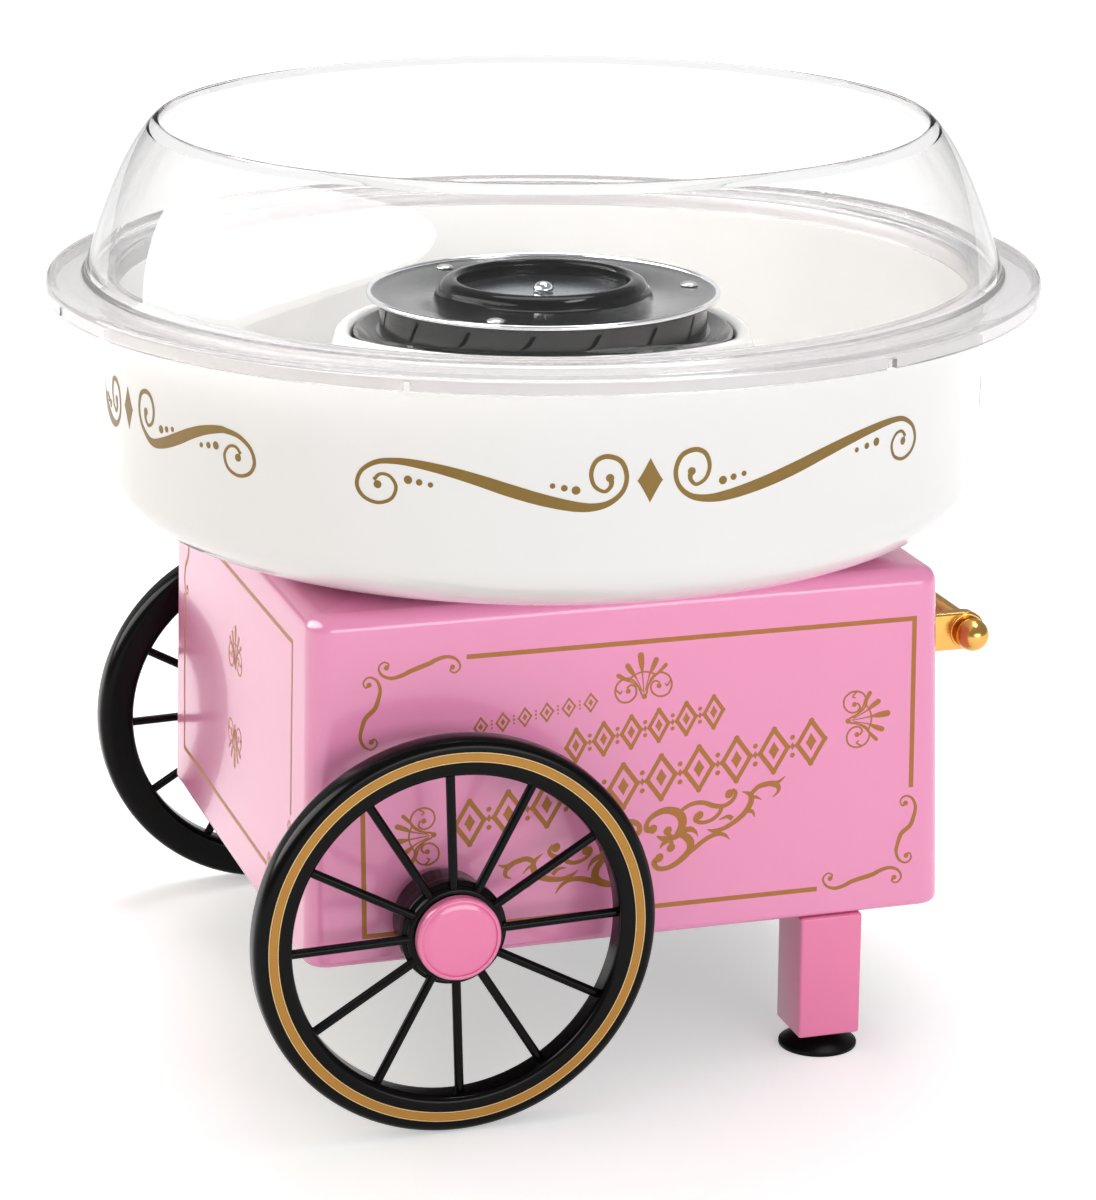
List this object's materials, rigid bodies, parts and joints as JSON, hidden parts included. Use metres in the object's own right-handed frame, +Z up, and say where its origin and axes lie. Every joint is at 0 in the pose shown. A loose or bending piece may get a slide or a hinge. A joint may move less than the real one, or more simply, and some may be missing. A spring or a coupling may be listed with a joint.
{
  "type": "cotton candy machine",
  "caption": "Tabletop cotton candy machine styled as a cart: spinning heated head, deep ring-shaped bowl, clear open-topped guard, two spoked wheels, two suction-cup legs and a pull handle.",
  "frame": {"origin": "on the table, under the axis of the spinning head, at the centre of the foot of the bounding box", "axes": "+Z up along the head's axis, +X towards the pull handle, -Y towards the decorated long side that the picture shows"},
  "size_m": [0.298, 0.298, 0.2731],
  "materials": {
    "pink_plastic": "glossy moulded pink plastic with gold print",
    "white_plastic": "glossy moulded white plastic with gold print",
    "clear_plastic": "clear moulded plastic",
    "black_plastic": "black moulded plastic",
    "wheel_plastic": "glossy black moulded plastic with a gold painted band",
    "black_rubber": "soft black rubber",
    "gold_plastic": "gold metallised plastic",
    "polished_steel": "polished",
    "plated_steel": "zinc plated",
    "head_steel": "satin pressed sheet with a bright rim",
    "cup_black": "glossy black heat-proof plastic",
    "dark_enamel": "dark grey heat-proof coating",
    "ceramic": "unglazed ceramic",
    "bronze": "plain bronze and copper"
  },
  "bodies": {
    "cart": {"cart_body": "pink_plastic", "base_plate": "black_plastic", "base_screw_1": "plated_steel", "base_screw_2": "plated_steel", "base_screw_3": "plated_steel", "base_screw_4": "plated_steel", "axle": "plated_steel", "axle_bush_near": "black_plastic", "axle_bush_far": "black_plastic", "hub_cap_near": "pink_plastic", "hub_cap_far": "pink_plastic", "leg_near": "pink_plastic", "leg_far": "pink_plastic", "suction_cup_near": "black_rubber", "suction_cup_far": "black_rubber", "handle_arm_near": "gold_plastic", "handle_arm_far": "gold_plastic", "handle_ball_near": "gold_plastic", "handle_ball_far": "gold_plastic", "handle_bar": "gold_plastic", "turret": "white_plastic", "heater_pan": "dark_enamel", "heating_element": "dark_enamel", "element_saddle_1": "ceramic", "element_saddle_2": "ceramic", "element_saddle_3": "ceramic", "motor_can": "plated_steel", "motor_stator": "dark_enamel", "motor_bracket": "plated_steel", "motor_bearing_bottom": "bronze", "motor_bearing_top": "bronze", "bracket_screw_1": "plated_steel", "bracket_screw_2": "plated_steel", "bracket_screw_3": "plated_steel", "motor_screw_1": "plated_steel", "motor_screw_2": "plated_steel", "switch_housing": "black_plastic", "cord_inlet": "black_plastic"},
    "rotor": {"motor_shaft": "polished_steel", "motor_armature": "bronze", "cooling_fan": "black_plastic", "drive_pin": "polished_steel"},
    "head": {"head_plate": "head_steel", "head_slotted_band": "head_steel", "head_base_plate": "head_steel", "sugar_cup": "cup_black", "drive_hub": "polished_steel", "dome_screw": "polished_steel", "head_rivet_1": "polished_steel", "head_rivet_2": "polished_steel", "head_rivet_3": "polished_steel"},
    "bowl": {"bowl": "white_plastic"},
    "guard": {"rim_guard": "clear_plastic"},
    "wheel_near": {"wheel_near": "wheel_plastic"},
    "wheel_far": {"wheel_far": "wheel_plastic"},
    "rocker": {"switch_rocker": "black_plastic"}
  },
  "joints": [
    {"name": "head_spin", "type": "hinge", "parent": "cart", "child": "rotor", "pos_m": [0, 0, 0.15], "axis": [0, 0, 1], "continuous": true},
    {"name": "head_lift_off", "type": "slide", "parent": "rotor", "child": "head", "axis": [0, 0, 1], "range_m": [0, 0.06]},
    {"name": "bowl_lift_off", "type": "slide", "parent": "cart", "child": "bowl", "axis": [0, 0, 1], "range_m": [0, 0.09]},
    {"name": "guard_lift_off", "type": "slide", "parent": "bowl", "child": "guard", "axis": [0, 0, 1], "range_m": [0, 0.06]},
    {"name": "wheel_near_spin", "type": "hinge", "parent": "cart", "child": "wheel_near", "pos_m": [-0.0595, 0, 0.0592], "axis": [0, 1, 0], "continuous": true},
    {"name": "wheel_far_spin", "type": "hinge", "parent": "cart", "child": "wheel_far", "pos_m": [-0.0595, 0, 0.0592], "axis": [0, 1, 0], "continuous": true},
    {"name": "switch_rock", "type": "hinge", "parent": "cart", "child": "rocker", "pos_m": [0.062, 0.08942, 0.092], "axis": [1, 0, 0], "range_deg": [0, 16]}
  ]
}
